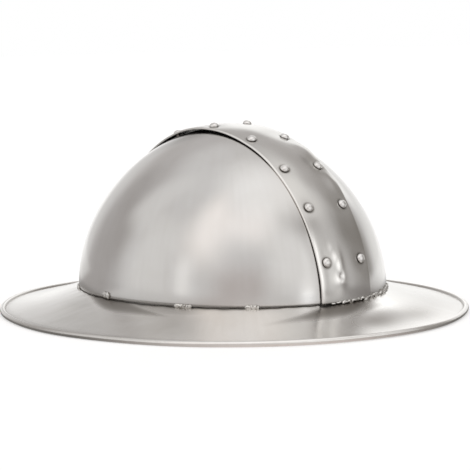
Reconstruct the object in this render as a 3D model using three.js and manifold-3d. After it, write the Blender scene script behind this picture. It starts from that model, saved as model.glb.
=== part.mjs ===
// Kettle hat of spangen make: two skull plates under one riveted band, on a wide brim with a rolled edge.
// Millimetres, +Z up, front towards -Y, standing on the rolled edge with the ground at z = 0.
import * as THREE from "three";
import { mergeVertices } from "three/addons/utils/BufferGeometryUtils.js";
import Module from "manifold-3d";

// Driving dimensions: the crown's are outside sizes at the seam where it meets the brim
const SHEET = 1.2;
const CLEARANCE = 0.3;
const CROWN = { halfLength: 117, halfWidth: 100, rise: 111.1, roundness: 1.9, seamHeight: 16.4 };
const SKULL = { seamGap: 3, endAngle: 2, alongSteps: 28, upSteps: 13 };
const BAND = { width: 45, gapAtBase: 0.5, gapAtTop: 0.9, edgeRise: 1.3, alongSteps: 42, acrossSteps: 6 };
const BAND_BOW = { across: 2, angle: 55, spread: 28 };
const BRIM = { reach: 54, neckHeight: 0.3, leadSlope: 18, rollRadius: 1.9, restWidth: 1.2, steps: 60 };
const RIVET = { inset: 7.2, headRadius: 3.2, headHeight: 2.5, shankRadius: 1.6 };
const RIVET_TAIL = { radius: 2.6, height: 1.2, play: 0.8 };
const ROUND = { rivetSides: 10, holeSides: 6, headSteps: 3, brimSteps: 5, rollSteps: 6, formSteps: 8 };

// Rivets of one row: angle up from the front of the base, over the top to the back
const RIVET_STATIONS = [12.9, 32.3, 49.6, 68.7, 88.5, 109, 130.4, 147.7, 167.1];

// Weld tacks along the seam: bearing from the front, positive to the left side, and length along the seam
const TACK = { height: 4.4, depth: 3.2, sides: 6, rings: 4 };
const TACKS = [
  { bearing: -158, length: 14 },
  { bearing: -128, length: 9 },
  { bearing: -98, length: 6 },
  { bearing: -62, length: 11 },
  { bearing: -38, length: 9 },
  { bearing: 28, length: 22 },
  { bearing: 62, length: 9 },
  { bearing: 98, length: 8 },
  { bearing: 128, length: 9 },
  { bearing: 158, length: 14 },
];

const STEEL = { color: 0xc9c6c2, roughness: 0.32, metalness: 1 };

const wasm = await Module();
wasm.setup();

const radians = THREE.MathUtils.degToRad;

// Solid for joining and cutting, from a closed geometry
function solidOf(geometry) {
  const bare = geometry.clone();
  bare.deleteAttribute("normal");
  bare.deleteAttribute("uv");
  const merged = mergeVertices(bare);
  const corners = merged.index.array;
  const triangles = [];
  for (let k = 0; k < corners.length; k += 3) {
    const [a, b, c] = corners.slice(k, k + 3);
    if (a !== b && b !== c && c !== a) triangles.push(a, b, c);
  }
  const vertProperties = merged.attributes.position.array;
  const triVerts = Uint32Array.from(triangles);
  return new wasm.Manifold(new wasm.Mesh({ numProp: 3, vertProperties, triVerts }));
}

function geometryOf(solid) {
  const { vertProperties, triVerts } = solid.getMesh();
  return indexedGeometry(vertProperties, triVerts);
}

function indexedGeometry(coordinates, faces) {
  const geometry = new THREE.BufferGeometry();
  geometry.setAttribute("position", new THREE.BufferAttribute(Float32Array.from(coordinates), 3));
  geometry.setIndex(new THREE.BufferAttribute(Uint32Array.from(faces), 1));
  geometry.computeVertexNormals();
  return geometry;
}

function piece(name, geometry) {
  const mesh = new THREE.Mesh(geometry, new THREE.MeshStandardMaterial(STEEL));
  mesh.name = name;
  return mesh;
}

// Half sizes of the crown's skin, moved outwards by offset
function crownSizes(offset) {
  return new THREE.Vector3(CROWN.halfWidth + offset, CROWN.halfLength + offset, CROWN.rise + offset);
}

// Point of that skin on the ray from the middle of the crown's base along direction
function onCrown(direction, offset) {
  const share = direction.clone().divide(crownSizes(offset));
  const size = Math.hypot(share.x, share.y) ** CROWN.roundness + Math.abs(share.z) ** CROWN.roundness;
  return direction.clone().multiplyScalar(size ** (-1 / CROWN.roundness));
}

// Closed sheet over a grid: pointAt(u, v, outside) with u and v from 0 to 1
function sheetGeometry(pointAt, uSteps, vSteps) {
  const coordinates = [];
  for (const outside of [false, true]) {
    for (let i = 0; i <= uSteps; i++) {
      for (let j = 0; j <= vSteps; j++) coordinates.push(...pointAt(i / uSteps, j / vSteps, outside));
    }
  }
  const inner = (i, j) => i * (vSteps + 1) + j;
  const outer = (i, j) => inner(i, j) + (uSteps + 1) * (vSteps + 1);
  const faces = [];
  const quad = (a, b, c, d) => faces.push(a, b, c, a, c, d);
  for (let i = 0; i < uSteps; i++) {
    for (let j = 0; j < vSteps; j++) {
      quad(outer(i, j), outer(i + 1, j), outer(i + 1, j + 1), outer(i, j + 1));
      quad(inner(i, j), inner(i, j + 1), inner(i + 1, j + 1), inner(i + 1, j));
    }
    quad(inner(i, 0), inner(i + 1, 0), outer(i + 1, 0), outer(i, 0));
    quad(outer(i, vSteps), outer(i + 1, vSteps), inner(i + 1, vSteps), inner(i, vSteps));
  }
  for (let j = 0; j < vSteps; j++) {
    quad(outer(0, j), outer(0, j + 1), inner(0, j + 1), inner(0, j));
    quad(inner(uSteps, j), inner(uSteps, j + 1), outer(uSteps, j + 1), outer(uSteps, j));
  }
  return indexedGeometry(coordinates, faces);
}

// Skull plate on one side, -1 right and 1 left: from the base up to the plates' seam along the middle
function skullGeometry(side) {
  const pointAt = (u, v, outside) => {
    const along = side > 0 ? u : 1 - u;
    const fromFront = radians(THREE.MathUtils.lerp(SKULL.endAngle, 180 - SKULL.endAngle, along));
    const up = Math.PI / 2 * v;
    const reach = CROWN.halfLength * Math.sin(fromFront);
    const across = side * (SKULL.seamGap / 2 + reach * Math.cos(up));
    const back = -CROWN.halfLength * Math.cos(fromFront);
    return onCrown(new THREE.Vector3(across, back, reach * Math.sin(up)), outside ? 0 : -SHEET);
  };
  return sheetGeometry(pointAt, SKULL.alongSteps, SKULL.upSteps);
}

// The band is flatter across than the crown, so its edges stand off the plates, more towards the top
function bandGap(angle, across) {
  const edge = BAND.edgeRise * (2 * across / BAND.width) ** 2;
  return THREE.MathUtils.lerp(BAND.gapAtBase, BAND.gapAtTop + edge, Math.sin(angle));
}

// Sideways bow of the band, which leans to the left on the front of the crown
function bandBow(angle) {
  const away = (angle - radians(BAND_BOW.angle)) / radians(BAND_BOW.spread);
  return BAND_BOW.across * Math.exp(-away * away);
}

function bandPoint(angle, across, height) {
  const offset = bandGap(angle, across) + height;
  const middle = onCrown(new THREE.Vector3(0, -Math.cos(angle), Math.sin(angle)), offset);
  middle.x = across + bandBow(angle);
  return onCrown(middle, offset);
}

function bandNormal(angle, across) {
  const step = 0.01;
  const sideways = bandPoint(angle, across + step, 0).sub(bandPoint(angle, across - step, 0));
  const onwards = bandPoint(angle + step, across, 0).sub(bandPoint(angle - step, across, 0));
  return sideways.cross(onwards).normalize();
}

function bandGeometry() {
  const pointAt = (u, v, outside) => bandPoint(Math.PI * u, BAND.width * (0.5 - v), outside ? SHEET : 0);
  return sheetGeometry(pointAt, BAND.alongSteps, BAND.acrossSteps);
}

// Seat of a rivet on the band's face, with its axis pointing out
function rivetSeat(side, station) {
  const angle = radians(station);
  const across = side * (BAND.width / 2 - RIVET.inset);
  const position = bandPoint(angle, across, SHEET + CLEARANCE);
  const turn = new THREE.Quaternion().setFromUnitVectors(new THREE.Vector3(0, 1, 0), bandNormal(angle, across));
  return { position, turn, grip: CLEARANCE + SHEET + bandGap(angle, across) + SHEET + RIVET_TAIL.play };
}

function rivetGeometry(grip) {
  const profile = [
    new THREE.Vector2(0, -grip - RIVET_TAIL.height),
    new THREE.Vector2(RIVET_TAIL.radius, -grip - RIVET_TAIL.height / 2),
    new THREE.Vector2(RIVET_TAIL.radius, -grip),
    new THREE.Vector2(RIVET.shankRadius, -grip),
    new THREE.Vector2(RIVET.shankRadius, 0),
  ];
  const dome = new THREE.EllipseCurve(0, 0, RIVET.headRadius, RIVET.headHeight, 0, Math.PI / 2);
  profile.push(...dome.getPoints(ROUND.headSteps));
  profile.at(-1).x = 0;
  return new THREE.LatheGeometry(profile, ROUND.rivetSides);
}

function rivetHole(seat) {
  const radius = (RIVET.shankRadius + CLEARANCE) / Math.cos(Math.PI / ROUND.holeSides);
  const hole = new THREE.CylinderGeometry(radius, radius, 4 * seat.grip, ROUND.holeSides);
  hole.applyQuaternion(seat.turn);
  hole.translate(...seat.position);
  return solidOf(hole);
}

// Upper face of the brim: a gentle curve that leaves the seam at the lead slope and flattens towards the roll
function brimCurve(start, end) {
  const halfway = (end.x - start.x) / 2;
  const drop = halfway * Math.tan(radians(BRIM.leadSlope));
  return new THREE.QuadraticBezierCurve(start, new THREE.Vector2(start.x + halfway, start.y - drop), end);
}

// Outline of the brim's sheet: reach out from the crown's skin, and height above the ground
function brimProfile() {
  const neckTop = CROWN.seamHeight - CLEARANCE;
  const entry = Math.asin(SHEET / 2 / BRIM.rollRadius);
  const inner = BRIM.reach - BRIM.rollRadius * Math.cos(entry);
  const start = new THREE.Vector2(0, neckTop - BRIM.neckHeight);
  const curve = brimCurve(start, new THREE.Vector2(inner, BRIM.rollRadius + SHEET / 2));
  const top = curve.getPoints(ROUND.brimSteps);
  const under = top.slice(0, -1).map((point, k) => {
    const along = curve.getTangent(k / ROUND.brimSteps);
    return new THREE.Vector2(point.x + SHEET * along.y, point.y - SHEET * along.x);
  });
  const roll = new THREE.EllipseCurve(
    BRIM.reach, BRIM.rollRadius, BRIM.rollRadius, BRIM.rollRadius, Math.PI - entry, -Math.PI / 3, true);
  const rest = [
    new THREE.Vector2(BRIM.reach + BRIM.restWidth / 2, 0),
    new THREE.Vector2(BRIM.reach - BRIM.restWidth / 2, 0),
    new THREE.Vector2(inner, BRIM.rollRadius - SHEET / 2),
  ];
  const neck = [new THREE.Vector2(-SHEET, neckTop), new THREE.Vector2(0, neckTop)];
  return [...neck, ...top.slice(0, -1), ...roll.getPoints(ROUND.rollSteps), ...rest, ...under.reverse()];
}

// Point of the seam line at a bearing, moved out from the crown by reach
function besideSeam(bearing, reach, height) {
  const { halfLength, halfWidth } = CROWN;
  const across = Math.sin(bearing);
  const along = -Math.cos(bearing);
  const outward = new THREE.Vector3(across / halfWidth, along / halfLength, 0).normalize();
  const seam = new THREE.Vector3(across * halfWidth, along * halfLength, height);
  return { position: seam.addScaledVector(outward, reach), outward };
}

function brimSheet() {
  const profile = brimProfile();
  const coordinates = [];
  const faces = [];
  const index = (i, j) => (i % BRIM.steps) * profile.length + (j % profile.length);
  for (let i = 0; i < BRIM.steps; i++) {
    const bearing = 2 * Math.PI * i / BRIM.steps;
    for (let j = 0; j < profile.length; j++) {
      coordinates.push(...besideSeam(bearing, profile[j].x, profile[j].y).position);
      faces.push(index(i, j), index(i, j + 1), index(i + 1, j));
      faces.push(index(i + 1, j), index(i, j + 1), index(i + 1, j + 1));
    }
  }
  return indexedGeometry(coordinates, faces);
}

function tackSolid({ bearing, length }) {
  const { position, outward } = besideSeam(radians(bearing), TACK.depth / 8, CROWN.seamHeight - CLEARANCE);
  const tack = new THREE.SphereGeometry(0.5, TACK.sides, TACK.rings);
  tack.scale(TACK.depth, length, TACK.height);
  tack.rotateZ(Math.atan2(outward.y, outward.x));
  tack.translate(...position);
  return solidOf(tack);
}

// Form of the crown with its clearance, which keeps the tacks off the plates
function crownForm() {
  const base = CROWN.seamHeight - CLEARANCE / 2;
  const sizes = crownSizes(2 * CLEARANCE);
  const profile = [new THREE.Vector2(0, base)];
  for (let k = 0; k <= ROUND.formSteps; k++) {
    const angle = Math.PI / 2 * k / ROUND.formSteps;
    const plan = Math.cos(angle) ** (2 / CROWN.roundness);
    const up = sizes.z * Math.sin(angle) ** (2 / CROWN.roundness);
    profile.push(new THREE.Vector2(k < ROUND.formSteps ? plan : 0, base + up));
  }
  const form = new THREE.LatheGeometry(profile, BRIM.steps);
  form.rotateX(Math.PI / 2);
  form.scale(sizes.x, sizes.y, 1);
  return solidOf(form);
}

function brimGeometry() {
  const bare = solidOf(brimSheet());
  const tacked = TACKS.reduce((solid, tack) => solid.add(tackSolid(tack)), bare);
  return geometryOf(tacked.subtract(crownForm()));
}

const crown = new THREE.Group();
crown.position.z = CROWN.seamHeight;

let bandSolid = solidOf(bandGeometry());
for (const { side, label } of [{ side: -1, label: "right" }, { side: 1, label: "left" }]) {
  let skullSolid = solidOf(skullGeometry(side));
  RIVET_STATIONS.forEach((station, row) => {
    const seat = rivetSeat(side, station);
    skullSolid = skullSolid.subtract(rivetHole(seat));
    bandSolid = bandSolid.subtract(rivetHole(seat));
    const rivet = piece(`rivet_${label}_${row + 1}`, rivetGeometry(seat.grip));
    rivet.position.copy(seat.position);
    rivet.quaternion.copy(seat.turn);
    crown.add(rivet);
  });
  crown.add(piece(`skull_plate_${label}`, geometryOf(skullSolid)));
}
crown.add(piece("spangen_band", geometryOf(bandSolid)));

const helmet = new THREE.Group();
helmet.add(crown, piece("brim", brimGeometry()));

export default helmet;
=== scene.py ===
# Kettle hat of spangen make in worn satin steel: skull plates, riveted band, and brim with a rolled edge.
# Metres, +Z up, front towards -Y, standing on the floor at z = 0.
import math

import bmesh
import bpy
import numpy as np
from mathutils import Matrix, Quaternion, Vector, noise


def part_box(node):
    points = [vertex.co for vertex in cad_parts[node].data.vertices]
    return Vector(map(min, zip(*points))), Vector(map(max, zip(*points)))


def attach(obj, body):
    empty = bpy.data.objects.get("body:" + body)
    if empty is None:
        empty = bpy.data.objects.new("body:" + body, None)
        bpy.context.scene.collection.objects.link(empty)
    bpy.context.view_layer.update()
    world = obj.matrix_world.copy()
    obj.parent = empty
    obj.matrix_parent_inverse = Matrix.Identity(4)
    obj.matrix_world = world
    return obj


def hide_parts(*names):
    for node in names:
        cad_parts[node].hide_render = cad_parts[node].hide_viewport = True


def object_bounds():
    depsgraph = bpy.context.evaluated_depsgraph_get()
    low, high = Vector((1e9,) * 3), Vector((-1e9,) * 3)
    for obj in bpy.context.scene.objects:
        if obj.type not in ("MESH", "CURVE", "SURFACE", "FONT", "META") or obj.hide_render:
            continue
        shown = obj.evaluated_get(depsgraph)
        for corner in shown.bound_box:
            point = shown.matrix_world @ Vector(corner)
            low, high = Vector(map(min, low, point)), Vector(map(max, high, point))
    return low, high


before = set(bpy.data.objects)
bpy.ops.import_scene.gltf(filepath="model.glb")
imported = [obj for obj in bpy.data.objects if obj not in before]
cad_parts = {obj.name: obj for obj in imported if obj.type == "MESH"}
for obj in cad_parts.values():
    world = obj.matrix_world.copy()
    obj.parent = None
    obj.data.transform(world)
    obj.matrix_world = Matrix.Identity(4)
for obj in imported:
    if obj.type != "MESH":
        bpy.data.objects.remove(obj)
CAD_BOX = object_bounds()

# Driving dimensions: the frame gives the crown's width, rise and seam height
MM = 0.001
SHEET = 1.2 * MM
CLEARANCE = 0.3 * MM
EDGE_EASE = 0.35 * MM
EDGE_STEPS = 3
SHARP_ANGLE = 50
PLATE_LOW, PLATE_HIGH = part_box("skull_plate_left")
SEAM_HEIGHT = PLATE_LOW.z
CROWN_SIZES = np.array((PLATE_HIGH.x, 117 * MM, PLATE_HIGH.z - PLATE_LOW.z))
ROUNDNESS = 1.9
CROWN_RADIUS = CROWN_SIZES.mean()

SKULL = {"seam_gap": 3 * MM, "end_angle": 2, "even_foot": 12 * MM, "along": 170, "up": 84, "seed": 3}
BAND = {"width": 45 * MM, "gap_at_base": 0.5 * MM, "gap_at_top": 0.7 * MM, "along": 420, "across": 50}
BAND_BOW = {"across": 2 * MM, "angle": 55, "spread": 28}
BRIM = {"reach": 54 * MM, "gap": 0.1 * MM, "lip": 0.2 * MM, "tuck": 0.7 * MM, "lead": 18, "roll": 1.9 * MM}
BRIM_STEPS = {"around": 480, "along": 50, "seed": 9}
RIVET = {"inset": 7.2 * MM, "shank": 1.6 * MM, "sides": 28, "lean": 3}
RIVET_HEAD = {"radius": 3.2 * MM, "height": 2.4 * MM, "lift": 0.25 * MM, "fullness": 0.9, "steps": 12}
RIVET_TAIL = {"radius": 2.7 * MM, "height": 1.2 * MM, "play": 0.5 * MM, "steps": 6}
RIVET_STRIKES = {"size": 2.4 * MM, "share": 0.06, "left_seed": 20}
# Painted shade of the rivets: amount and height at the foot of each head, and width of its ring on the band
RIVET_SHADE = {"amount": 0.9, "height": 0.9 * MM, "ring": 0.9 * MM}
RIVET_HOLE = {"sides": 20, "grips": 4}
RIVET_STATIONS = (12.9, 32.3, 49.6, 68.7, 88.5, 109, 130.4, 147.7, 167.1)
SIDES = {"right": -1, "left": 1}

# Rolled edge: angle where its bead ends, and the slit under it in radii of the roll from its middle
ROLL = {"stop": 152, "steps": 30}
ROLL_SLIT = ((-0.45, -0.41), (-0.45, -0.33), (-1.15, -SHEET / 2 / BRIM["roll"]))

# Unevenness of the brim: warp of its sheet, wander of its rim, and ragged top of its neck
BRIM_WARP = 0.16 * MM
RIM_WANDER = 0.25 * MM
NECK = {"ragged": 0.12 * MM, "depth": 3 * MM, "fade": 2.5 * MM}

# Shift of the noise from one seed to the next, in swellings
NOISE_SHIFT = Vector((7.3, 3.1, 5.7))

# Swellings of hand-worked sheet: their size across and their height
PLANISHING = (
    {"size": 58 * MM, "height": 0.26 * MM},
    {"size": 24 * MM, "height": 0.05 * MM},
)

# Edges of the band, which is flatter across than the crown: how far they rise, and rise more at the top
BAND_EDGES = {
    "right": {"rise": 0.1 * MM, "rise_at_top": 1.4 * MM},
    "left": {"rise": 0.9 * MM, "rise_at_top": 1.1 * MM},
}
OPEN_TOP = {"angle": 101, "spread": 20}

# Dents and ridges of the band: angle up from the front, place across, spread along and across, height
BAND_DENTS = (
    {"angle": 8.2, "across": -5.8, "spread": (1.9, 1.7), "height": -0.80},
    {"angle": 7.0, "across": -6.5, "spread": (5.5, 4.5), "height": 0.60},
    {"angle": 12.5, "across": -4.6, "spread": (8.0, 2.6), "height": 0.45},
    {"angle": 44.0, "across": -22.5, "spread": (22.0, 8.0), "height": -0.60},
    {"angle": 8.0, "across": -21.5, "spread": (22.0, 3.5), "height": 0.60},
    {"angle": 24.0, "across": 12.0, "spread": (10.0, 7.0), "height": -0.30},
    {"angle": 41.0, "across": 19.0, "spread": (9.0, 7.0), "height": 0.90},
    {"angle": 59.5, "across": 19.0, "spread": (9.0, 8.0), "height": 0.90},
    {"angle": 79.0, "across": 15.0, "spread": (11.0, 8.0), "height": 0.40},
)
RIVET_PULL = {"depth": 0.35 * MM, "spread": 6.5 * MM}

# Painted highlights on the band, round the dent near its base and along its near edge: angle up from the
# front, place across, spread along and across, share
BAND_PAINTED_HIGHLIGHTS = (
    {"angle": 7.2, "across": -8.4, "spread": (3.2, 3.0), "share": 1.0},
    {"angle": 8.2, "across": -3.7, "spread": (2.8, 1.2), "share": 0.9},
    {"angle": 6.3, "across": -5.6, "spread": (1.7, 2.4), "share": 0.9},
    {"angle": 11.6, "across": -6.6, "spread": (3.2, 1.6), "share": 1.0},
    {"angle": 14.6, "across": -8.6, "spread": (3.6, 1.7), "share": 0.85},
    {"angle": 17.6, "across": -10.2, "spread": (3.2, 1.9), "share": 0.5},
    {"angle": 3.5, "across": -8.5, "spread": (4.0, 4.0), "share": 0.4},
    {"angle": 12.0, "across": -21.0, "spread": (28.0, 2.1), "share": 1.0},
    {"angle": 2.0, "across": -20.0, "spread": (6.0, 2.6), "share": 0.4},
    {"angle": 55.0, "across": -22.3, "spread": (90.0, 0.7), "share": 0.8},
)

# Stain of the band, listed in the same way
BAND_STAIN = {"angle": 52.5, "across": 7.0, "spread": (4.5, 3.0), "share": 0.35}

# Painted highlight on the right plate: bearing and its spread, rise above the seam and its spread, share
SKULL_PAINTED_HIGHLIGHT = {"bearing": -17.5, "spread": 3.5, "rise": 2.5 * MM, "up": 5 * MM, "share": 0.8}

# Weld tacks on the seam: bearing from the front, positive to the left; length, height and rise in mm
TACKS = (
    {"bearing": -158, "length": 14, "height": 3.6, "rise": 0},
    {"bearing": -128, "length": 9, "height": 4.0, "rise": 0},
    {"bearing": -96, "length": 6.0, "height": 6.0, "rise": 2.2},
    {"bearing": -62, "length": 11, "height": 3.2, "rise": 0.2},
    {"bearing": -38, "length": 8, "height": 4.2, "rise": 0},
    {"bearing": 62, "length": 9, "height": 3.8, "rise": 0},
    {"bearing": 98, "length": 8, "height": 4.2, "rise": 0},
    {"bearing": 128, "length": 9, "height": 3.8, "rise": 0},
    {"bearing": 158, "length": 14, "height": 3.6, "rise": 0},
)

# Lumps of the tacks: pitch, ranges of width and rise in mm, and of height as a share of the tack's
TACK_LUMPS = {"pitch": 3, "overlap": 1.7, "out": (2.2, 2.9), "up": (0.75, 1.05), "rise": (-0.5, 0.1)}

# Ragged weld: bearings of its ends, ranges of its lumps' sizes and rise in mm, and how they gain along it
RAGGED_WELD = {"from": -7, "to": 41, "lumps": 52, "stray": 0.7, "seed": 4}
RAGGED_LUMPS = {"along": (1.6, 4.2), "out": (2.2, 3.6), "up": (1.0, 1.7), "rise": (-1.1, 0.2)}
RAGGED_GAIN = {"up": 1.6, "rise": 2}

# All welds: roughness of their lumps, how far out of the seam line they sit, and grain of their mesh
LUMP_ROUGHNESS = (
    {"size": 0.8, "share": 0.22, "seed": 0},
    {"size": 0.35, "share": 0.12, "seed": 50},
)
WELD_SEAT = {"on_plate": 0.15 * MM, "on_band": 1.5 * MM, "band_ends": 12}
WELD_GRAIN = 0.3 * MM

# Open stretch of the seam under the band's right corner, and the crease in the brim below it
SEAM_NOTCH = {"bearing": -10, "spread": 3.2, "depth": 0.4 * MM}
BRIM_CREASE = {"bearing": -14.4, "skew": -0.18, "width": 0.7, "depth": 0.3 * MM}
CREASE_PLACE = {"reach": 3.5 * MM, "spread": 2.6 * MM}
CREASE_CUTS = {"beside": 2.6, "count": 27, "clear": 2.7}

# Swells of the brim: bearing from the front and its spread, reach out from the seam and its spread, height
BRIM_SWELLS = (
    {"bearing": 8, "spread": 13, "reach": 22 * MM, "out": 11 * MM, "height": 2.0 * MM},
    {"bearing": -112, "spread": 16, "reach": 19 * MM, "out": 11 * MM, "height": 0.6 * MM},
)

# Dirt in the seam, painted shade at the roll, darkest in the groove inside it and under its bead, and
# specks of scale in the welds
SEAM_DIRT = {"amount": 0.9, "height": 0.5 * MM}
ROLL_SHADE = {"inset": 1.6 * MM, "spread": 0.7 * MM, "inside": 0.7, "top": 0.22, "below": 0.45}
WELD_DIRT = {"size": 1.0 * MM, "contrast": 3, "seed": 6, "amount": 0.88, "edge": 0.55 * MM}

# Dull skin of the brim, with darker and lighter places that are partly stains and partly painted shade and
# highlights: bearing and its spread, reach and its spread, change
BRIM_DULL = 0.18
BRIM_STAINS_AND_PAINTED_LIGHT = (
    {"bearing": -36, "spread": 16, "reach": 22 * MM, "out": 45 * MM, "change": -0.18},
    {"bearing": 10, "spread": 10, "reach": 9 * MM, "out": 11 * MM, "change": -0.18},
    {"bearing": -3, "spread": 8, "reach": 33 * MM, "out": 11 * MM, "change": 0.52},
    {"bearing": -118, "spread": 22, "reach": 20 * MM, "out": 30 * MM, "change": -0.12},
    {"bearing": -90, "spread": 40, "reach": 53 * MM, "out": 4 * MM, "change": 0.50},
    {"bearing": 14, "spread": 10, "reach": 34 * MM, "out": 11 * MM, "change": 0.40},
    {"bearing": 34, "spread": 14, "reach": 30 * MM, "out": 14 * MM, "change": 0.15},
    {"bearing": -58, "spread": 14, "reach": 28 * MM, "out": 18 * MM, "change": 0.12},
)

# Painted shade beside the long welds: bearing and its spread, degrees gained per millimetre out, amount,
# reach
WELD_SIDE_PAINTED_SHADE = (
    {"bearing": -95, "spread": 13, "skew": 1.4, "amount": 0.90, "reach": 15 * MM},
    {"bearing": -75, "spread": 22, "skew": 0, "amount": 0.45, "reach": 12 * MM},
    {"bearing": 1.5, "spread": 12, "skew": -1.0, "amount": 0.98, "reach": 21 * MM},
    {"bearing": 130, "spread": 40, "skew": 0, "amount": 0.25, "reach": 12 * MM},
)

# Steels: base colour, roughness, way that the wheel's strokes run, wear, contrast of the strokes
STEELS = {
    "skull_steel": {"colour": (0.62, 0.61, 0.60), "rough": 0.17, "flow": "up", "wear": 0.25, "brush": 0.1},
    "band_steel": {"colour": (0.58, 0.57, 0.555), "rough": 0.18, "flow": "over", "wear": 0.5, "brush": 0.1},
    # The brim's steel is lighter than the others as painted light, for the brighter light that falls on the
    # brim
    "brim_steel": {"colour": (0.93, 0.92, 0.905), "rough": 0.21, "flow": "out", "wear": 0.2, "brush": 0.2},
    "rivet_steel": {"colour": (0.74, 0.73, 0.72), "rough": 0.20, "flow": "up", "wear": 0.5, "brush": 0.1},
    "weld_steel": {"colour": (0.70, 0.69, 0.67), "rough": 0.27, "flow": "up", "wear": 0.5, "brush": 0.1},
}

# Shades of each steel, as shares of its colour: lighter, darker, painted highlight, and dirt with painted
# shade; and how much duller the marked dirt and shade are
SHADES = {
    "lighter": (1.04, 1.04, 1.04),
    "darker": (0.95, 0.94, 0.925),
    "highlighted": (1.7, 1.7, 1.7),
    "dirty_and_shaded": (0.24, 0.22, 0.20),
}
DIRT_DULLNESS = 0.15

# Grain of the steel: noise in cells a metre, the span of it that counts, and what it does to the polish
CLOUDS = {"scale": 26, "detail": 3.0, "distortion": 0.3, "span": (0.35, 0.65), "tone": (0.1, 0.8)}
STROKES = {"along": 22, "across": 260, "relief": 0.06}
SCRATCHES = {"along": 1500, "across": 60, "roughness": 0.4, "distortion": 0.6, "relief": -0.12}
SCRATCH_SPAN = (0.68, 0.74)
SCRATCHED = {"scale": 34, "span": (0.56, 0.66)}
GRAIN_SPAN = (0.3, 0.7)
DULLNESS = {"clouds": 0.03, "strokes": 0.012}
RELIEF = {"strength": 0.3, "distance": 0.05 * MM}

# View of the photograph: bearing of the camera, its height angle and distance from the hat's middle
VIEW = {"azimuth": -40.65, "elevation": 5.79, "distance": 1.256, "roll": 1.115}
VIEW_MIDDLE = Vector((0, 0, 0.0639))
VIEW_AIM = Vector((0.0028, -0.0024, 0.0511))
LENS = 137.5
SENSOR = 36

# Studio light seen in the steel, fitted to the photograph's tones by a program and then changed.
# Turn counts from the photograph's view, positive to its right.
STUDIO_GREY = (0.85, 0.84, 0.835)
SOFT_BOX = {"turn": 50, "elevation": 68, "radius": 29, "soft": 28, "light": (1.24, 1.23, 1.22)}
STUDIO_PANELS = (
    {"turn": -166, "width": 160, "elevation": 39, "height": 27, "soft": 17, "light": (0.66, 0.64, 0.63)},
    {"turn": -78, "width": 29, "elevation": 15, "height": 52, "soft": 10, "light": (0.96, 0.95, 0.94)},
    {"turn": -11, "width": 36, "elevation": 5, "height": 33, "soft": 23, "light": (0.70, 0.655, 0.64)},
    {"turn": -2, "width": 64, "elevation": 51, "height": 22, "soft": 24, "light": (1.30, 1.26, 1.24)},
    {"turn": -42, "width": 25, "elevation": 47, "height": 45, "soft": 30, "light": (1.38, 1.32, 1.28)},
    {"turn": -52, "width": 9, "elevation": 5, "height": 36, "soft": 12, "light": (1.28, 1.27, 1.26)},
    {"turn": 43, "width": 12, "elevation": 15, "height": 50, "soft": 9, "light": (1.46, 1.46, 1.45)},
    {"turn": 57, "width": 48, "elevation": 45, "height": 16, "soft": 28, "light": (0.50, 0.48, 0.47)},
    {"turn": 63, "width": 9, "elevation": 21, "height": 33, "soft": 9, "light": (1.22, 1.22, 1.21)},
    {"turn": 113, "width": 41, "elevation": 12, "height": 48, "soft": 24, "light": (0.33, 0.31, 0.29)},
    {"turn": 131, "width": 37, "elevation": 36, "height": 10, "soft": 9, "light": (0.44, 0.42, 0.40)},
    {"turn": 158, "width": 56, "elevation": 1, "height": 23, "soft": 21, "light": (1.04, 1.04, 1.03)},
    {"turn": -173, "width": 26, "elevation": -2, "height": 18, "soft": 9, "light": (1.24, 1.24, 1.23)},
    {"turn": -170, "width": 9, "elevation": 24, "height": 16, "soft": 15, "light": (0.38, 0.37, 0.36)},
    {"turn": -123, "width": 38, "elevation": 14, "height": 54, "soft": 16, "light": (0.54, 0.52, 0.51)},
    {"turn": -102, "width": 26, "elevation": 45, "height": 39, "soft": 12, "light": (0.92, 0.91, 0.90)},
    {"turn": 32, "width": 36, "elevation": 28, "height": 44, "soft": 24, "light": (1.06, 1.05, 1.04)},
    {"turn": 176, "width": 11, "elevation": 18, "height": 20, "soft": 6, "light": (1.36, 1.36, 1.35)},
    {"turn": 157, "width": 28, "elevation": 23, "height": 17, "soft": 5, "light": (1.32, 1.32, 1.31)},
)

# Floor: pale where it is seen, shaded near the hat, and lit in patches where the steel mirrors it.
# The patches were fitted as the studio light was.
FLOOR = {"size": 30, "white": 0.66, "glow": 0.42, "roughness": 0.9, "light": (0.83, 0.82, 0.81)}
FLOOR_NEAR = {"reach": 1.7, "sides": (0.24, 0.23, 0.22)}
FLOOR_UNDER = {"inner": 0.92, "outer": 0.95, "dark": (0.14, 0.135, 0.13)}
FLOOR_FRONT = {"turn": 9, "width": 56, "soft": 50, "light": (0.95, 0.88, 0.85)}
FLOOR_PATCHES = (
    {"turn": -16, "width": 35, "soft": 36, "light": (0.72, 0.675, 0.66)},
    {"turn": 84, "width": 36, "soft": 29, "light": (0.31, 0.29, 0.28)},
    {"turn": 168, "width": 89, "soft": 23, "light": (1.16, 1.16, 1.15)},
    {"turn": -114, "width": 38, "soft": 9, "light": (0.52, 0.50, 0.49)},
)


# Camera


def make_camera():
    azimuth = math.radians(VIEW["azimuth"])
    elevation = math.radians(VIEW["elevation"])
    level = math.cos(elevation)
    back = Vector((math.sin(azimuth) * level, -math.cos(azimuth) * level, math.sin(elevation)))
    camera = bpy.data.objects.new("camera", bpy.data.cameras.new("camera"))
    camera.data.lens = LENS
    camera.data.sensor_width = SENSOR
    camera.location = VIEW_MIDDLE + back * VIEW["distance"]
    looking = (VIEW_AIM - camera.location).to_track_quat("-Z", "Y")
    camera.rotation_mode = "QUATERNION"
    camera.rotation_quaternion = looking @ Quaternion((0, 0, 1), -math.radians(VIEW["roll"]))
    bpy.context.scene.collection.objects.link(camera)
    bpy.context.scene.camera = camera


# Shapes of the sheet


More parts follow.
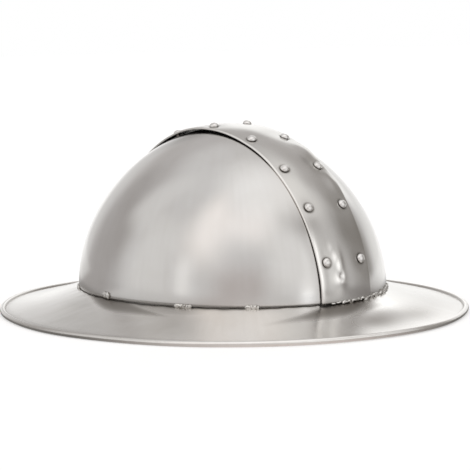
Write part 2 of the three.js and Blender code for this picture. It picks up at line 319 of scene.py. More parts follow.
def bell(value, middle, spread):
    """Smooth hump: 1 at the middle, fading to 0 over a few spreads."""
    return np.exp(-(((value - middle) / spread) ** 2))


def plateau(value, middle, spread):
    """Hump with a flat top: near 1 up to the spread, then falling off quickly."""
    return np.exp(-(((value - middle) / spread) ** 6))


def on_crown(directions, offset):
    """Points of the crown's skin, moved outwards by offset, on rays from the middle of its base."""
    share = directions / (CROWN_SIZES + np.asarray(offset)[..., None])
    size = np.hypot(share[..., 0], share[..., 1]) ** ROUNDNESS + np.abs(share[..., 2]) ** ROUNDNESS
    return directions * (size ** (-1 / ROUNDNESS))[..., None]


def swelling(points, size, seed):
    """Smooth noise from -1 to 1, with swellings of about that size."""
    shift = NOISE_SHIFT * seed
    values = [noise.noise(Vector(point) / size + shift) for point in points.reshape(-1, 3)]
    return np.array(values).reshape(points.shape[:-1])


def planished(points, seed):
    return sum(row["height"] * swelling(points, row["size"], seed + k) for k, row in enumerate(PLANISHING))


def sheet_outline(length, steps):
    """Closed cut through a sheet with eased edges: distance along it and depth under its outer face."""
    turn = np.linspace(0, math.pi / 2, EDGE_STEPS + 1)
    face = np.linspace(EDGE_EASE, length - EDGE_EASE, steps + 1)[1:-1]
    end = length - EDGE_EASE
    far_along = np.concatenate((end + EDGE_EASE * np.sin(turn), end + EDGE_EASE * np.cos(turn)))
    outer_depth = EDGE_EASE * (1 - np.cos(turn))
    far_depth = np.concatenate((outer_depth, SHEET - outer_depth[::-1]))
    along = np.concatenate((face, far_along, face[::-1], length - far_along[::-1]))
    depth = np.concatenate((np.zeros_like(face), far_depth, np.full_like(face, SHEET), far_depth[::-1]))
    return along, depth


def end_cap(first, face_count, edge_count, size):
    """Quads over the end of a swept sheet, between its outer and inner faces."""
    mirror = 2 * face_count + edge_count - 1
    quads = []
    for k in range(-edge_count // 2, face_count + edge_count // 2 - 1):
        corners = (k, k + 1, mirror - k - 1, mirror - k)
        quads.append([first + corner % size for corner in corners])
    return quads


def swept_mesh(name, loops, ring):
    """Closed mesh through equal loops of points; sheet outlines that make no ring get end caps."""
    count, size = loops.shape[:2]
    index = np.arange(count * size).reshape(count, size)
    start = index if ring else index[:-1]
    after = np.roll(index, -1, axis=0) if ring else index[1:]
    sides = (start, after, np.roll(after, -1, axis=1), np.roll(start, -1, axis=1))
    faces = np.stack(sides, axis=-1).reshape(-1, 4).tolist()
    if not ring:
        edge_count = 2 * (EDGE_STEPS + 1)
        face_count = size // 2 - edge_count
        for first in (0, (count - 1) * size):
            faces += end_cap(first, face_count, edge_count, size)
    return closed_mesh(name, loops.reshape(-1, 3), faces)


def turned_mesh(name, profile, sides):
    """Closed mesh of a profile of radius and height turned about Z, from axis to axis."""
    profile = np.asarray(profile)
    angles = np.linspace(0, 2 * math.pi, sides, endpoint=False)
    around = np.stack((np.cos(angles), np.sin(angles)), axis=-1)
    rings = [np.column_stack((radius * around, np.full(sides, height))) for radius, height in profile[1:-1]]
    points = np.concatenate([[(0, 0, profile[0][1])], *rings, [(0, 0, profile[-1][1])]])
    last = len(points) - 1
    faces = []
    for k in range(sides):
        after = (k + 1) % sides
        faces.append((0, 1 + after, 1 + k))
        faces.append((last, last - sides + k, last - sides + after))
        for row in range(len(rings) - 1):
            low = 1 + row * sides
            faces.append((low + k, low + after, low + sides + after, low + sides + k))
    return closed_mesh(name, points, faces)


def closed_mesh(name, points, faces):
    mesh = bpy.data.meshes.new(name)
    mesh.from_pydata(np.asarray(points).tolist(), [], faces)
    work = bmesh.new()
    work.from_mesh(mesh)
    bmesh.ops.recalc_face_normals(work, faces=work.faces)
    work.to_mesh(mesh)
    work.free()
    return mesh


def mesh_points(mesh):
    points = np.empty(3 * len(mesh.vertices))
    mesh.vertices.foreach_get("co", points)
    return points.reshape(-1, 3)


def add_piece(name, mesh, material, slot, *nodes):
    """Shows a mesh as a piece of the hat, in place of the CAD nodes that it stands for."""
    mesh.materials.clear()
    mesh.materials.append(material)
    mesh.shade_smooth()
    mesh.set_sharp_from_angle(angle=math.radians(SHARP_ANGLE))
    piece = bpy.data.objects.new(name, mesh)
    bpy.context.scene.collection.objects.link(piece)
    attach(piece, "root")
    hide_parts(*nodes)


def modified(mesh, kind, **settings):
    """Mesh that a modifier makes of another."""
    body = bpy.data.objects.new("modified_body", mesh)
    bpy.context.scene.collection.objects.link(body)
    modifier = body.modifiers.new("change", kind)
    for key, value in settings.items():
        setattr(modifier, key, value)
    result = bpy.data.meshes.new_from_object(body.evaluated_get(bpy.context.evaluated_depsgraph_get()))
    bpy.data.objects.remove(body)
    return result


def cut_holes(mesh, cutters):
    """Mesh with the rivet holes cut out of it."""
    tool = bpy.data.objects.new("hole_tool", cutters)
    bpy.context.scene.collection.objects.link(tool)
    cut = modified(mesh, "BOOLEAN", operation="DIFFERENCE", solver="MANIFOLD", object=tool)
    bpy.data.objects.remove(tool)
    return cut


def mark(mesh, name, shares):
    """Stores a share from 0 to 1 at each point of a mesh."""
    mesh.attributes.new(name, "FLOAT", "POINT").data.foreach_set("value", shares)


def seam_dirt(points):
    """Dirt along the seam between crown and brim."""
    return SEAM_DIRT["amount"] * bell(points[:, 2], SEAM_HEIGHT, SEAM_DIRT["height"])


def above_ground(points):
    """Points of the crown's own frame moved up to the seam."""
    return points + np.array((0, 0, SEAM_HEIGHT))


# Skull plates


def skull_mesh(label):
    side = SIDES[label]
    along, depth = sheet_outline(math.pi / 2 * CROWN_RADIUS, SKULL["up"])
    up = along / CROWN_RADIUS
    end = math.radians(SKULL["end_angle"])
    from_front = np.linspace(end, math.pi - end, SKULL["along"] + 1)[:, None]
    reach = CROWN_SIZES[1] * np.sin(from_front)
    across = side * (SKULL["seam_gap"] / 2 + reach * np.cos(up))
    back = np.broadcast_to(-CROWN_SIZES[1] * np.cos(from_front), across.shape)
    directions = np.stack((across, back, reach * np.sin(up)), axis=-1)
    skin = on_crown(directions, np.zeros(across.shape))
    fixed_edge = np.clip(skin[..., 2] / SKULL["even_foot"], 0, 1)
    under_band = 1 - bell(skin[..., 0], 0, BAND["width"] / 2)
    swell = planished(skin, SKULL["seed"] + side) * fixed_edge * under_band
    loops = above_ground(on_crown(directions, swell - depth))
    mesh = cut_holes(swept_mesh(f"skull_{label}", loops, False), hole_cutters(label))
    points = mesh_points(mesh)
    mark(mesh, "dirt_and_shade", seam_dirt(points))
    mark(mesh, "painted_highlight", skull_painted_highlight(points))
    return mesh


def skull_painted_highlight(points):
    """Share of painted highlight at points of the plates."""
    bearing = np.degrees(np.arctan2(points[:, 0] / CROWN_SIZES[0], -points[:, 1] / CROWN_SIZES[1]))
    rise = points[:, 2] - SEAM_HEIGHT
    around = bell(bearing, SKULL_PAINTED_HIGHLIGHT["bearing"], SKULL_PAINTED_HIGHLIGHT["spread"])
    return SKULL_PAINTED_HIGHLIGHT["share"] * around * bell(rise, SKULL_PAINTED_HIGHLIGHT["rise"], SKULL_PAINTED_HIGHLIGHT["up"])


# Band


def band_gap(angle):
    return BAND["gap_at_base"] + (BAND["gap_at_top"] - BAND["gap_at_base"]) * np.sin(angle)


def rivet_across(side):
    return side * (BAND["width"] / 2 - RIVET["inset"])


def band_lift(angle, across):
    """How far the band stands off its even curve: up at its edges, down at the rivets, dented elsewhere."""
    top = bell(angle, math.radians(OPEN_TOP["angle"]), math.radians(OPEN_TOP["spread"]))
    lift = 0
    for label, edge in BAND_EDGES.items():
        beside = np.clip(SIDES[label] * across / (BAND["width"] / 2), 0, 1)
        lift = lift + beside**2 * (edge["rise"] + edge["rise_at_top"] * top)
    for station in RIVET_STATIONS:
        for side in SIDES.values():
            along = (angle - math.radians(station)) * CROWN_RADIUS
            distance = np.hypot(along, across - rivet_across(side))
            lift = lift - RIVET_PULL["depth"] * bell(distance, 0, RIVET_PULL["spread"])
    for dent in BAND_DENTS:
        lift = lift + dent["height"] * MM * near_mark(dent, angle, across)
    return lift


def near_mark(row, angle, across):
    """How near a place on the band is to a mark in it: 1 at its middle, fading over its spreads."""
    along = (angle - math.radians(row["angle"])) * CROWN_RADIUS
    return bell(along, 0, row["spread"][0] * MM) * bell(across, row["across"] * MM, row["spread"][1] * MM)


def band_bow(angle):
    return BAND_BOW["across"] * bell(np.degrees(angle), BAND_BOW["angle"], BAND_BOW["spread"])


def band_point(angle, across, height):
    offset = band_gap(angle) + band_lift(angle, across) + height
    middle = np.stack((0 * offset, -np.cos(angle) + 0 * offset, np.sin(angle) + 0 * offset), axis=-1)
    middle = on_crown(middle, offset)
    middle[..., 0] = across + band_bow(angle)
    return on_crown(middle, offset)


def band_normal(angle, across):
    turn, step = 0.02, 2 * MM
    sideways = band_point(angle, across + step, 0) - band_point(angle, across - step, 0)
    onwards = band_point(angle + turn, across, 0) - band_point(angle - turn, across, 0)
    return Vector(np.cross(sideways, onwards)).normalized()


def band_mesh():
    along, depth = sheet_outline(BAND["width"], BAND["across"])
    angle = np.linspace(0, math.pi, BAND["along"] + 1)[:, None]
    loops = above_ground(band_point(angle, along - BAND["width"] / 2, SHEET - depth))
    mesh = swept_mesh("band", loops, False)
    for label in SIDES:
        mesh = cut_holes(mesh, hole_cutters(label))
    points = mesh_points(mesh)
    angle = np.arctan2(points[:, 2] - SEAM_HEIGHT, -points[:, 1])
    across = points[:, 0] - band_bow(angle)
    stain = BAND_STAIN["share"] * near_mark(BAND_STAIN, angle, across)
    highlighted = [row["share"] * near_mark(row, angle, across) for row in BAND_PAINTED_HIGHLIGHTS]
    # Dirt at the seam, the stain, and painted shade round the rivets
    mark(mesh, "dirt_and_shade", np.max((rivet_shade_rings(points), seam_dirt(points), stain), axis=0))
    # Painted highlights round the dent and along the near edge
    mark(mesh, "painted_highlight", np.max(highlighted, axis=0))
    return mesh


def rivet_shade_rings(points):
    """Rings of painted shade on the band round the rivet heads."""
    darkening = np.zeros(len(points))
    for label in SIDES:
        for station in RIVET_STATIONS:
            seat = np.array(rivet_seat(label, station)[0])
            distance = np.linalg.norm(points - seat, axis=1)
            darkening = np.maximum(darkening, bell(distance, RIVET_HEAD["radius"], RIVET_SHADE["ring"]))
    return darkening


# Rivets


def rivet_seat(label, station):
    """Place of a rivet head on the band, the axis that points out of it, and the length under the head."""
    angle = np.array(math.radians(station))
    across = rivet_across(SIDES[label])
    place = band_point(angle, across, SHEET)
    stand_off = float(band_gap(angle) + band_lift(angle, across))
    grip = SHEET + stand_off + SHEET + RIVET_TAIL["play"]
    return Vector(above_ground(place)), band_normal(angle, across), grip


def hole_cutters(label):
    work = bmesh.new()
    radius = RIVET["shank"] + CLEARANCE
    for station in RIVET_STATIONS:
        place, normal, grip = rivet_seat(label, station)
        turn = Vector((0, 0, 1)).rotation_difference(normal).to_matrix().to_4x4()
        bmesh.ops.create_cone(
            work, cap_ends=True, segments=RIVET_HOLE["sides"], radius1=radius, radius2=radius,
            depth=RIVET_HOLE["grips"] * grip, matrix=Matrix.Translation(place) @ turn)
    mesh = bpy.data.meshes.new(f"holes_{label}")
    work.to_mesh(mesh)
    work.free()
    return mesh


def rivet_mesh(label, number, station):
    place, normal, grip = rivet_seat(label, station)
    head, lift = RIVET_HEAD["radius"], RIVET_HEAD["lift"]
    tail = [
        (RIVET_TAIL["radius"] * math.sin(t), -grip - RIVET_TAIL["height"] * math.cos(t))
        for t in np.linspace(0, math.pi / 2, RIVET_TAIL["steps"])]
    shank = [(RIVET["shank"], -grip), (RIVET["shank"], 0), (head - lift, 0)]
    dome = [
        (head * math.cos(t) ** RIVET_HEAD["fullness"], lift + RIVET_HEAD["height"] * math.sin(t))
        for t in np.linspace(0, math.pi / 2, RIVET_HEAD["steps"])]
    dome[-1] = (0, dome[-1][1])
    mesh = turned_mesh(f"rivet_{label}_{number}", tail + shank + dome, RIVET["sides"])
    seed = number + (RIVET_STRIKES["left_seed"] if label == "left" else 0)
    lean = Quaternion((math.cos(seed), math.sin(seed), 0), math.radians(RIVET["lean"]))
    turn = Vector((0, 0, 1)).rotation_difference(normal) @ lean
    points = mesh_points(mesh)
    # Painted shade at the foot of the head, full on the shank under it
    mark(mesh, "dirt_and_shade", RIVET_SHADE["amount"] * np.clip(1 - points[:, 2] / RIVET_SHADE["height"], 0, 1))
    strikes = swelling(points, RIVET_STRIKES["size"], seed)[:, None]
    struck = points * (1 + RIVET_STRIKES["share"] * strikes)
    for vertex, point in zip(mesh.vertices, struck):
        vertex.co = place + turn @ Vector(point)
    return mesh


# Brim


def brim_face():
    """Upper face of the brim, from the neck to the roll: points of reach and height, and their slopes."""
    start = np.array((-BRIM["tuck"], SEAM_HEIGHT - BRIM["gap"] - BRIM["lip"]))
    end = np.array((BRIM["reach"] - BRIM["roll"] * math.cos(roll_entry()), BRIM["roll"] + SHEET / 2))
    halfway = (end[0] - start[0]) / 2
    bend = start + halfway * np.array((1, -math.tan(math.radians(BRIM["lead"]))))
    share = np.linspace(0, 1, BRIM_STEPS["along"] + 1)[:, None]
    points = start * (1 - share) ** 2 + bend * 2 * share * (1 - share) + end * share**2
    along = (bend - start) * (1 - share) + (end - bend) * share
    return points, np.arctan2(-along[:, 1], along[:, 0])


def roll_entry():
    """Angle by which the sheet's half thickness spreads where it meets the roll."""
    return math.asin(SHEET / 2 / BRIM["roll"])


def arc(centre, radius, start, stop, steps):
    angle = np.linspace(start, stop, steps)
    return np.stack((centre[0] + radius * np.cos(angle), centre[1] + radius * np.sin(angle)), axis=-1)


def brim_outline():
    """Closed cut through the brim: reach out from the crown's skin and height above the ground."""
    neck_top = SEAM_HEIGHT - BRIM["gap"]
    roll = BRIM["roll"]
    lip = BRIM["lip"]
    face = -BRIM["tuck"]
    neck = np.concatenate((
        arc((face + lip - SHEET, neck_top - lip), lip, math.pi, math.pi / 2, EDGE_STEPS + 1),
        arc((face - lip, neck_top - lip), lip, math.pi / 2, 0, EDGE_STEPS + 1)))
    top, slope = brim_face()
    under = top - SHEET * np.stack((np.sin(slope), np.cos(slope)), axis=-1)
    middle = np.array((BRIM["reach"], roll))
    bead = arc(middle, roll, math.pi - roll_entry(), -math.radians(ROLL["stop"]), ROLL["steps"])
    slit = middle + np.array(ROLL_SLIT) * roll
    return np.concatenate((neck, top, bead[1:], slit, under[-2::-1]))


def beside_seam(bearing, reach, height):
    """Points out from the seam line at a bearing, and the outward direction there."""
    across = np.sin(bearing)
    along = -np.cos(bearing)
    outward = np.stack((across / CROWN_SIZES[0], along / CROWN_SIZES[1]), axis=-1)
    outward /= np.linalg.norm(outward, axis=-1, keepdims=True)
    x = across * CROWN_SIZES[0] + outward[..., 0] * reach
    y = along * CROWN_SIZES[1] + outward[..., 1] * reach
    return np.stack((x, y, np.broadcast_to(height, x.shape)), axis=-1), outward


def brim_bearings():
    """Bearings of the brim's cuts in degrees, closer together at the crease."""
    even = np.linspace(0, 360, BRIM_STEPS["around"], endpoint=False) - 180
    beside = np.linspace(-CREASE_CUTS["beside"], CREASE_CUTS["beside"], CREASE_CUTS["count"])
    clear = np.abs(even - BRIM_CREASE["bearing"]) > CREASE_CUTS["clear"]
    return np.sort(np.concatenate((even[clear], BRIM_CREASE["bearing"] + beside)))


def brim_mesh():
    reach, level = brim_outline().T
    degrees = brim_bearings()[:, None]
    bearing = np.radians(degrees)
    share = np.clip(reach / BRIM["reach"], 0, 1)
    wave = 1.5 + np.sin(2 * bearing + 0.6) + 0.5 * np.sin(5 * bearing + 2.0)
    height = level + BRIM_WARP * wave * share**1.5
    from_crease = degrees - BRIM_CREASE["bearing"] - BRIM_CREASE["skew"] * (reach / MM)
    crease = bell(from_crease, 0, BRIM_CREASE["width"])
    crease = crease * bell(reach, CREASE_PLACE["reach"], CREASE_PLACE["spread"])
    height = height - BRIM_CREASE["depth"] * crease
    for row in BRIM_SWELLS:
        near = bell(degrees, row["bearing"], row["spread"]) * bell(reach, row["reach"], row["out"])
        height = height + row["height"] * near
    neck = np.clip((level - SEAM_HEIGHT + NECK["depth"]) / NECK["fade"], 0, 1)
    notch = SEAM_NOTCH["depth"] * plateau(degrees, SEAM_NOTCH["bearing"], SEAM_NOTCH["spread"])
    ragged = NECK["ragged"] * (1 + np.sin(17 * bearing) * np.sin(41 * bearing + 1))
    height = height - neck * (notch + ragged)
    uneven = RIM_WANDER * (np.sin(7 * bearing + 1.0) + np.sin(11 * bearing)) * share**4
    points, _ = beside_seam(bearing, reach + uneven, 0)
    flat = np.stack((points[..., 0], points[..., 1], 0 * height), axis=-1)
    swell = planished(flat, BRIM_STEPS["seed"])
    points[..., 2] = height + swell * np.clip(4 * share * (1 - share), 0, 1)
    mesh = swept_mesh("brim", points, True)
    # Dull skin, stains, painted shade and painted highlights of the brim, and dirt at the seam
    darkening = np.maximum(brim_stains_and_shade(degrees, reach, level).ravel(), seam_dirt(points.reshape(-1, 3)))
    mark(mesh, "dirt_and_shade", darkening)
    return mesh


def brim_stains_and_shade(degrees, reach, level):
    """Dull skin, stains partly made of painted shade and highlights, painted shade at the roll and beside
    the welds, by bearing, reach and height.
    """
    darkening = BRIM_DULL
    for row in BRIM_STAINS_AND_PAINTED_LIGHT:
        near = bell(degrees, row["bearing"], row["spread"]) * bell(reach, row["reach"], row["out"])
        darkening = darkening + row["change"] * near
    darkening = np.clip(darkening, 0, 1)
    for row in WELD_SIDE_PAINTED_SHADE:
        middle = row["bearing"] + row["skew"] * reach / MM
        near = plateau(degrees, middle, row["spread"]) * plateau(reach, 0, row["reach"])
        darkening = np.maximum(darkening, row["amount"] * near)
    inside = bell(reach, BRIM["reach"] - ROLL_SHADE["inset"], ROLL_SHADE["spread"]) * (level > BRIM["roll"])
    rolled = np.where(level < BRIM["roll"], ROLL_SHADE["below"], ROLL_SHADE["top"])
    rolled = rolled * (reach > BRIM["reach"] - BRIM["roll"])
    return np.maximum(darkening, np.maximum(ROLL_SHADE["inside"] * inside, rolled))


# Welds


def weld_lump(bearing, rise, sizes, seed):
    """Points of a lumpy drop of weld metal on the seam, sized along the seam, outwards and up."""
    out_to = WELD_SEAT["on_band" if abs(bearing) < WELD_SEAT["band_ends"] else "on_plate"]
    ball = bpy.data.meshes.new("lump")
    work = bmesh.new()
    bmesh.ops.create_icosphere(work, subdivisions=3, radius=1)
    work.to_mesh(ball)
    work.free()
    points = mesh_points(ball)
    faces = [list(face.vertices) for face in ball.polygons]
    bpy.data.meshes.remove(ball)
    rough = 1
    for row in LUMP_ROUGHNESS:
        rough = rough + row["share"] * swelling(points, row["size"], seed + row["seed"])
    points = points * rough[:, None] * np.array(sizes) / 2
    seam, outward = beside_seam(np.array(math.radians(bearing)), out_to, SEAM_HEIGHT + rise)
    along = np.array((-outward[1], outward[0], 0))
    out = np.array((outward[0], outward[1], 0))
    up = np.array((0, 0, 1))
    return seam + points @ np.stack((along, out, up)), faces


def weld_rows():
    """Lumps of all welds: bearing in degrees, rise above the seam, and sizes along, out and up."""
    draw = np.random.default_rng(RAGGED_WELD["seed"])
    return tack_rows(draw) + ragged_rows(draw)


def tack_rows(draw):
    rows = []
    for tack in TACKS:
        count = max(1, round(tack["length"] / TACK_LUMPS["pitch"]))
        width = math.degrees(tack["length"] * MM / CROWN_RADIUS)
        for k in range(count):
            place = tack["bearing"] + width * ((k + 0.5) / count - 0.5)
            along = TACK_LUMPS["overlap"] * tack["length"] / count
            out = draw.uniform(*TACK_LUMPS["out"])
            up = tack["height"] * draw.uniform(*TACK_LUMPS["up"])
            rise = tack["rise"] + draw.uniform(*TACK_LUMPS["rise"])
            rows.append((place, rise * MM, np.array((along, out, up)) * MM))
    return rows


def ragged_rows(draw):
    start, stop, stray = RAGGED_WELD["from"], RAGGED_WELD["to"], RAGGED_WELD["stray"]
    flattest, tallest = RAGGED_LUMPS["up"]
    lowest, highest = RAGGED_LUMPS["rise"]
    rows = []
    for share in np.linspace(0, 1, RAGGED_WELD["lumps"]):
        place = start + (stop - start) * share + draw.uniform(-stray, stray)
        along = draw.uniform(*RAGGED_LUMPS["along"])
        out = draw.uniform(*RAGGED_LUMPS["out"])
        up = draw.uniform(flattest, tallest + RAGGED_GAIN["up"] * share)
        rise = draw.uniform(lowest, highest + RAGGED_GAIN["rise"] * share)
        rows.append((place, rise * MM, np.array((along, out, up)) * MM))
    return rows


def weld_mesh():
    points = []
    faces = []
    for seed, (bearing, rise, sizes) in enumerate(weld_rows()):
        lump, sides = weld_lump(bearing, rise, sizes, seed)
        faces += [[len(points) + corner for corner in side] for side in sides]
        points += lump.tolist()
    mesh = modified(closed_mesh("welds", points, faces), "REMESH", mode="VOXEL", voxel_size=WELD_GRAIN)
    mark(mesh, "dirt_and_shade", weld_dirt(mesh_points(mesh)))
    return mesh


def weld_dirt(points):
    """Dark specks in the weld metal, and scale where it meets the crown."""
    from_skin = np.linalg.norm(points[:, :2] / CROWN_SIZES[:2], axis=1) - 1
    edge = bell(from_skin * CROWN_RADIUS, 0, WELD_DIRT["edge"])
    specks = np.clip(WELD_DIRT["contrast"] * swelling(points, WELD_DIRT["size"], WELD_DIRT["seed"]), 0, 1)
    return WELD_DIRT["amount"] * np.maximum(edge, specks)


# Materials


def add_node(tree, kind, **values):
    """New node with its settings and inputs; an input's name has underscores in place of its spaces."""
    node = tree.nodes.new(kind)
    for key, value in values.items():
        name = key.replace("_", " ")
        if name in node.inputs:
            node.inputs[name].default_value = value
        else:
            setattr(node, key, value)
    return node


def linked(tree, socket, value):
    """Sets a socket to a value, or links it to another socket."""
    if isinstance(value, bpy.types.NodeSocket):
        tree.links.new(value, socket)
    else:
        socket.default_value = value


def noise_node(tree, vector, scale, detail=2.0, roughness=0.5, distortion=0.0):
    node = add_node(
        tree, "ShaderNodeTexNoise", Scale=scale, Detail=detail, Roughness=roughness, Distortion=distortion)
    tree.links.new(vector, node.inputs["Vector"])
    return node.outputs["Fac"]


def ranged(tree, value, low, high, to_low, to_high):
    node = add_node(tree, "ShaderNodeMapRange", From_Min=low, From_Max=high, To_Min=to_low, To_Max=to_high)
    tree.links.new(value, node.inputs["Value"])
    return node.outputs["Result"]


def combined(tree, operation, first, second=0.0):
    node = add_node(tree, "ShaderNodeMath", operation=operation)
    linked(tree, node.inputs[0], first)
    linked(tree, node.inputs[1], second)
    return node.outputs["Value"]


def summed(tree, *values):
    total = values[0]
    for value in values[1:]:
        total = combined(tree, "ADD", total, value)
    return total


def tinted(tree, factor, first, second):
    """Colour mixed from two by a factor."""
    node = add_node(tree, "ShaderNodeMix", data_type="RGBA")
    linked(tree, node.inputs["Factor"], factor)
    sockets = [socket for socket in node.inputs if socket.type == "RGBA"]
    for socket, value in zip(sockets, (first, second)):
        linked(tree, socket, value)
    return next(socket for socket in node.outputs if socket.type == "RGBA")


def grain_flow(tree, place, flow):
    """Coordinates on the sheet: along the strokes of the polishing wheel and across them, in metres."""
    split = add_node(tree, "ShaderNodeSeparateXYZ")
    tree.links.new(place, split.inputs["Vector"])
    x, y, z = split.outputs
    front = combined(tree, "MULTIPLY", y, -1.0)
    round_crown = combined(tree, "MULTIPLY", combined(tree, "ARCTAN2", x, front), CROWN_RADIUS)
    over_crown = combined(tree, "ARCTAN2", combined(tree, "SUBTRACT", z, SEAM_HEIGHT), front)
    squares = [combined(tree, "POWER", axis, 2.0) for axis in (x, y)]
    radius = combined(tree, "SQRT", summed(tree, *squares))
    along, across = {
        "up": (z, round_crown),
        "over": (combined(tree, "MULTIPLY", over_crown, CROWN_RADIUS), x),
        "out": (radius, round_crown),
    }[flow]
    joined = add_node(tree, "ShaderNodeCombineXYZ")
    tree.links.new(along, joined.inputs["X"])
    tree.links.new(across, joined.inputs["Y"])
    return joined.outputs["Vector"]


def stretched(tree, vector, along, across):
    node = add_node(tree, "ShaderNodeMapping", Scale=(along, across, 1))
    tree.links.new(vector, node.inputs["Vector"])
    return node.outputs["Vector"]


def shade(colour, name):
    """Colour of a steel in one of its shades, with full cover."""
    return tuple(min(1.0, value * share) for value, share in zip(colour, SHADES[name])) + (1,)


def steel(name, colour, rough, flow, wear, brush):
    """Satin steel: cloudy polish, wheel strokes along the flow, scratches, and marked dirt, painted shade
    and painted highlights.
    """
    material = bpy.data.materials.new(name)
    material.use_nodes = True
    tree = material.node_tree
    shader = tree.nodes["Principled BSDF"]
    shader.inputs["Metallic"].default_value = 1
    place = add_node(tree, "ShaderNodeTexCoord").outputs["Object"]
    sheet = grain_flow(tree, place, flow)

    clouds = noise_node(tree, place, CLOUDS["scale"], CLOUDS["detail"], distortion=CLOUDS["distortion"])
    strokes = noise_node(tree, stretched(tree, sheet, STROKES["along"], STROKES["across"]), 1.0)
    fine = stretched(tree, sheet, SCRATCHES["along"], SCRATCHES["across"])
    scratch = noise_node(tree, fine, 1.0, 1.0, SCRATCHES["roughness"], SCRATCHES["distortion"])
    patches = ranged(tree, noise_node(tree, place, SCRATCHED["scale"], 1.0), *SCRATCHED["span"], 0, 1)
    cuts = combined(tree, "MULTIPLY", ranged(tree, scratch, *SCRATCH_SPAN, 0, 1), patches)
    dirt_and_shade = add_node(tree, "ShaderNodeAttribute", attribute_name="dirt_and_shade").outputs["Fac"]
    painted_highlight = add_node(tree, "ShaderNodeAttribute", attribute_name="painted_highlight").outputs["Fac"]

    polish = summed(
        tree,
        ranged(tree, clouds, *CLOUDS["span"], *CLOUDS["tone"]),
        ranged(tree, strokes, *GRAIN_SPAN, -brush, brush))
    polished = tinted(tree, polish, shade(colour, "darker"), shade(colour, "lighter"))
    # Painted highlights lighten the steel, and dirt and painted shade darken it
    clean = tinted(tree, painted_highlight, polished, shade(colour, "highlighted"))
    tree.links.new(tinted(tree, dirt_and_shade, clean, shade(colour, "dirty_and_shaded")), shader.inputs["Base Color"])

    cloudy, brushing = DULLNESS["clouds"], DULLNESS["strokes"] * wear
    dullness = summed(
        tree,
        ranged(tree, clouds, *GRAIN_SPAN, rough - cloudy, rough + cloudy),
        ranged(tree, strokes, *GRAIN_SPAN, -brushing, brushing),
        combined(tree, "MULTIPLY", dirt_and_shade, DIRT_DULLNESS))
    tree.links.new(dullness, shader.inputs["Roughness"])

    relief = summed(
        tree,
        combined(tree, "MULTIPLY", strokes, STROKES["relief"]),
        combined(tree, "MULTIPLY", cuts, SCRATCHES["relief"] * wear))
    bump = add_node(tree, "ShaderNodeBump", Strength=RELIEF["strength"], Distance=RELIEF["distance"])
    tree.links.new(relief, bump.inputs["Height"])
    tree.links.new(bump.outputs["Normal"], shader.inputs["Normal"])
    return material


# Studio


def facing(turn, elevation):
    """Direction towards a light, from its turn to the right of the photograph's view and its elevation."""
    bearing = math.radians(VIEW["azimuth"] + turn)
    level = math.cos(math.radians(elevation))
    return (math.sin(bearing) * level, -math.cos(bearing) * level, math.sin(math.radians(elevation)))


def aligned(tree, direction, axis):
    node = add_node(tree, "ShaderNodeVectorMath", operation="DOT_PRODUCT")
    tree.links.new(direction, node.inputs[0])
    node.inputs[1].default_value = axis
    return node.outputs["Value"]


def within(tree, angle, edge, soft):
    """1 where an angle is inside an edge and 0 outside it, with a soft blend; edge and blend in degrees."""
    node = add_node(tree, "ShaderNodeMapRange", interpolation_type="SMOOTHSTEP")
    node.inputs["From Min"].default_value = math.radians(edge + soft / 2)
    node.inputs["From Max"].default_value = math.radians(edge - soft / 2)
    tree.links.new(angle, node.inputs["Value"])
    return node.outputs["Result"]


def soft_box_share(tree, direction):
    axis = facing(SOFT_BOX["turn"], SOFT_BOX["elevation"])
    off_axis = combined(tree, "ARCCOSINE", aligned(tree, direction, axis))
    return within(tree, off_axis, SOFT_BOX["radius"], SOFT_BOX["soft"])


def sector_share(tree, direction, panel):
    """How far a direction lies inside a sector of bearings, from 0 to 1."""
    ahead = aligned(tree, direction, facing(panel["turn"], 0))
    beside = aligned(tree, direction, facing(panel["turn"] + 90, 0))
    turn = combined(tree, "ABSOLUTE", combined(tree, "ARCTAN2", beside, ahead))
    return within(tree, turn, panel["width"] / 2, panel["soft"])


def panel_share(tree, direction, panel):
    """How far a direction lies inside a soft panel of light, from 0 to 1."""
    rise = combined(tree, "ARCSINE", aligned(tree, direction, (0, 0, 1)))
    middle = math.radians(panel["elevation"])
    off_level = combined(tree, "ABSOLUTE", combined(tree, "SUBTRACT", rise, middle))
    upwards = within(tree, off_level, panel["height"] / 2, panel["soft"])
    return combined(tree, "MULTIPLY", sector_share(tree, direction, panel), upwards)


def make_studio():
    """Soft light and panels all round, which the steel mirrors; the camera itself sees plain white."""
    world = bpy.data.worlds.new("studio")
    bpy.context.scene.world = world
    world.use_nodes = True
    tree = world.node_tree
    direction = add_node(tree, "ShaderNodeTexCoord").outputs["Generated"]
    light = tinted(tree, soft_box_share(tree, direction), STUDIO_GREY + (1,), SOFT_BOX["light"] + (1,))
    for panel in STUDIO_PANELS:
        light = tinted(tree, panel_share(tree, direction, panel), light, panel["light"] + (1,))
    seen = add_node(tree, "ShaderNodeLightPath").outputs["Is Camera Ray"]
    tree.links.new(tinted(tree, seen, light, (1, 1, 1, 1)), tree.nodes["Background"].inputs["Color"])
    bpy.context.scene.view_settings.view_transform = "Standard"


def mixed_shader(tree, factor, first, second):
    node = add_node(tree, "ShaderNodeMixShader")
    for socket, value in zip(node.inputs, (factor, first, second)):
        tree.links.new(value, socket)
    return node.outputs["Shader"]


def rim_share(tree, place):
    """Distance of a place on the floor from the middle of the hat, 1 at its rim."""
    half_width, half_length = CAD_BOX[1].x, CAD_BOX[1].y
    node = add_node(tree, "ShaderNodeVectorMath", operation="MULTIPLY")
    tree.links.new(place, node.inputs[0])
    node.inputs[1].default_value = (1 / half_width, 1 / half_length, 0)
    length = add_node(tree, "ShaderNodeVectorMath", operation="LENGTH")
    tree.links.new(node.outputs["Vector"], length.inputs[0])
    return length.outputs["Value"]


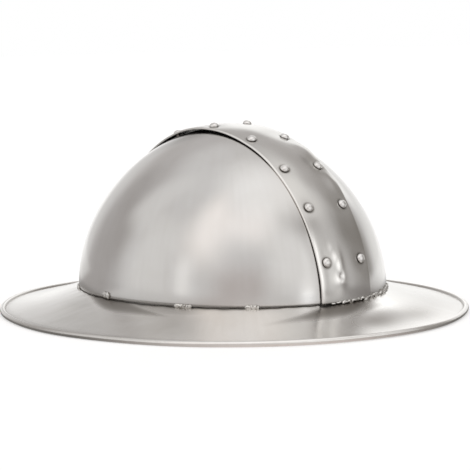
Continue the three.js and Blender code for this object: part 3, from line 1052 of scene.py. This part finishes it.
def make_floor():
    """Pale floor, which the steel mirrors as patches of light; it is clear from below."""
    bpy.ops.mesh.primitive_plane_add(size=FLOOR["size"])
    floor = bpy.context.object
    floor.name = "floor"
    material = bpy.data.materials.new("pale_floor")
    material.use_nodes = True
    tree = material.node_tree
    paint = tree.nodes["Principled BSDF"]
    paint.inputs["Base Color"].default_value = (FLOOR["white"], FLOOR["white"], FLOOR["white"], 1)
    paint.inputs["Roughness"].default_value = FLOOR["roughness"]
    paint.inputs["Emission Color"].default_value = (1, 1, 1, 1)
    place = add_node(tree, "ShaderNodeTexCoord").outputs["Object"]
    rim = rim_share(tree, place)
    under = ranged(tree, rim, FLOOR_UNDER["inner"], FLOOR_UNDER["outer"], 1, 0)
    lit = ranged(tree, under, 0, 1, FLOOR["glow"], 0)
    tree.links.new(lit, paint.inputs["Emission Strength"])
    light = FLOOR["light"] + (1,)
    for patch in FLOOR_PATCHES:
        light = tinted(tree, sector_share(tree, place, patch), light, patch["light"] + (1,))
    front = sector_share(tree, place, FLOOR_FRONT)
    close = tinted(tree, front, FLOOR_NEAR["sides"] + (1,), FLOOR_FRONT["light"] + (1,))
    light = tinted(tree, ranged(tree, rim, 1, FLOOR_NEAR["reach"], 1, 0), light, close)
    light = tinted(tree, under, light, FLOOR_UNDER["dark"] + (1,))
    glow = add_node(tree, "ShaderNodeEmission")
    tree.links.new(light, glow.inputs["Color"])
    seen = add_node(tree, "ShaderNodeLightPath").outputs["Is Camera Ray"]
    top = mixed_shader(tree, seen, glow.outputs["Emission"], paint.outputs["BSDF"])
    below = add_node(tree, "ShaderNodeNewGeometry").outputs["Backfacing"]
    clear = add_node(tree, "ShaderNodeBsdfTransparent").outputs["BSDF"]
    surface = mixed_shader(tree, below, top, clear)
    tree.links.new(surface, tree.nodes["Material Output"].inputs["Surface"])
    floor.data.materials.append(material)


make_camera()

steels = {name: steel(name, **values) for name, values in STEELS.items()}

for label in SIDES:
    plate = skull_mesh(label)
    add_piece(f"plate_{label}", plate, steels["skull_steel"], "skull_steel", f"skull_plate_{label}")
    for number, station in enumerate(RIVET_STATIONS, 1):
        rivet = rivet_mesh(label, number, station)
        node = f"rivet_{label}_{number}"
        add_piece(f"domed_{node}", rivet, steels["rivet_steel"], "rivet_steel", node)
add_piece("crown_band", band_mesh(), steels["band_steel"], "band_steel", "spangen_band")
add_piece("rolled_brim", brim_mesh(), steels["brim_steel"], "brim_steel", "brim")
add_piece("seam_welds", weld_mesh(), steels["weld_steel"], "brim_steel", "brim")

make_studio()
make_floor()
